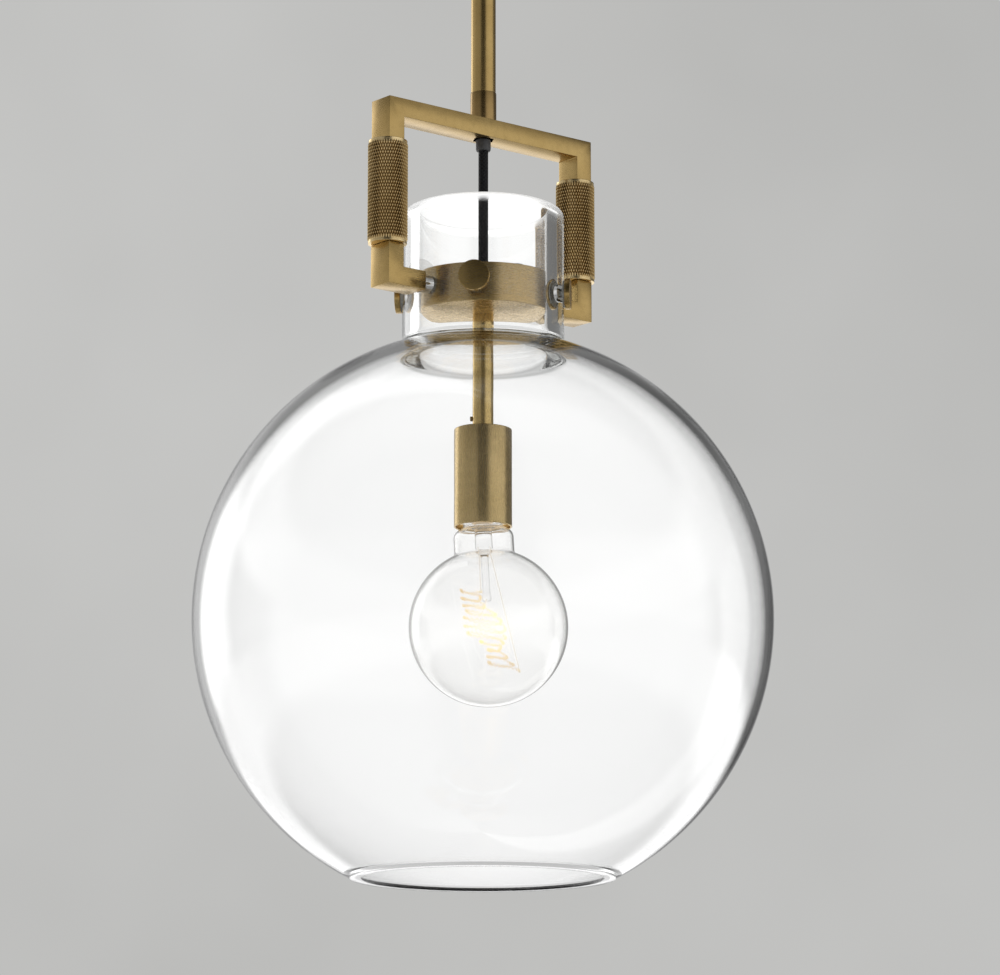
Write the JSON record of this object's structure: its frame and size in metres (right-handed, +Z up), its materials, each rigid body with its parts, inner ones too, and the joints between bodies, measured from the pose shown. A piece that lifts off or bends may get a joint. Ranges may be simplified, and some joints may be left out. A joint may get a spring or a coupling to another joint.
{
  "type": "pendant ceiling light",
  "caption": "Clear glass globe open at the bottom, hung by its neck from a rectangular brass frame with knurled grips, a rigid stem and a round canopy.",
  "frame": {"origin": "centre of the ceiling face, midway between the ceiling screws", "axes": "+Z up, out of the ceiling face; +X along the frame's bar and the ceiling bracket"},
  "size_m": [0.3498, 0.3498, 0.6767],
  "materials": {
    "brass": "satin aged brass",
    "knurled_brass": "diamond-knurled aged brass",
    "zinc_steel": "zinc-plated",
    "green_steel": "green ground screw",
    "orange_plastic": "moulded",
    "black_cable": "matt",
    "clear_silicone": "clear, slightly cloudy",
    "nylon": "natural nylon",
    "clear_glass": "clear blown",
    "porcelain": "white glazed",
    "contact_brass": "bright",
    "wire_insulation": "silicone insulation",
    "cap_metal": "bright",
    "black_insulator": "black glass",
    "bulb_glass": "thin clear",
    "support_wire": "drawn wire",
    "filament_wire": "glowing wire"
  },
  "bodies": {
    "ceiling_mount": {"ceiling_bracket": "zinc_steel", "ground_screw": "green_steel", "canopy_studs": "zinc_steel", "wire_connectors": "orange_plastic", "canopy": "brass"},
    "left_nut": {"cap_nut_left": "brass"},
    "right_nut": {"cap_nut_right": "brass"},
    "seat_ring": {"swivel_seat": "brass"},
    "pendant": {"swivel_ball": "brass", "stem_tube": "brass", "stem_coupler": "brass", "stem_nipple": "zinc_steel", "nipple_nut": "zinc_steel", "top_bar": "brass", "strain_relief": "black_cable", "cord": "black_cable", "joining_studs": "zinc_steel", "left_arm": "brass", "right_arm": "brass", "hub_cup": "brass", "hub_cover": "brass", "cover_pillars": "brass", "cover_screws": "zinc_steel", "cord_bush": "black_cable", "hub_sleeve": "clear_silicone", "arm_bolts": "zinc_steel", "arm_pads": "clear_silicone", "glass_bushes": "nylon", "disc_screws": "brass", "disc_washers": "nylon", "glass_globe": "clear_glass", "socket_rod": "brass", "rod_nut": "zinc_steel", "rod_set_screw": "brass", "socket_cup": "brass", "socket_body": "porcelain", "socket_shell": "contact_brass", "socket_contact": "contact_brass", "terminal_screws": "contact_brass", "lead_wires": "wire_insulation"},
    "left_sleeve": {"left_grip": "knurled_brass"},
    "right_sleeve": {"right_grip": "knurled_brass"},
    "bulb": {"bulb_cap": "cap_metal", "cap_insulator": "black_insulator", "bulb_contact": "cap_metal", "bulb_envelope": "bulb_glass", "bulb_mount": "bulb_glass", "support_wires": "support_wire", "filament": "filament_wire"}
  },
  "joints": [
    {"name": "left_nut_turn", "type": "hinge", "parent": "ceiling_mount", "child": "left_nut", "pos_m": [-0.035, 0, -0.029], "axis": [0, 0, 1], "continuous": true},
    {"name": "right_nut_turn", "type": "hinge", "parent": "ceiling_mount", "child": "right_nut", "pos_m": [0.035, 0, -0.029], "axis": [0, 0, 1], "continuous": true},
    {"name": "seat_turn", "type": "hinge", "parent": "ceiling_mount", "child": "seat_ring", "pos_m": [0, 0, -0.0205], "axis": [0, 0, 1], "range_deg": [-170, 170]},
    {"name": "stem_swing", "type": "hinge", "parent": "seat_ring", "child": "pendant", "pos_m": [0, 0, -0.0205], "axis": [0, 1, 0], "range_deg": [-20, 20]},
    {"name": "left_grip_turn", "type": "hinge", "parent": "pendant", "child": "left_sleeve", "pos_m": [-0.07405, 0, -0.26725], "axis": [0, 0, 1], "continuous": true},
    {"name": "right_grip_turn", "type": "hinge", "parent": "pendant", "child": "right_sleeve", "pos_m": [0.07405, 0, -0.26725], "axis": [0, 0, 1], "continuous": true},
    {"name": "bulb_unscrew", "type": "slide", "parent": "pendant", "child": "bulb", "axis": [0, 0, -1], "range_m": [0, 0.03]}
  ]
}
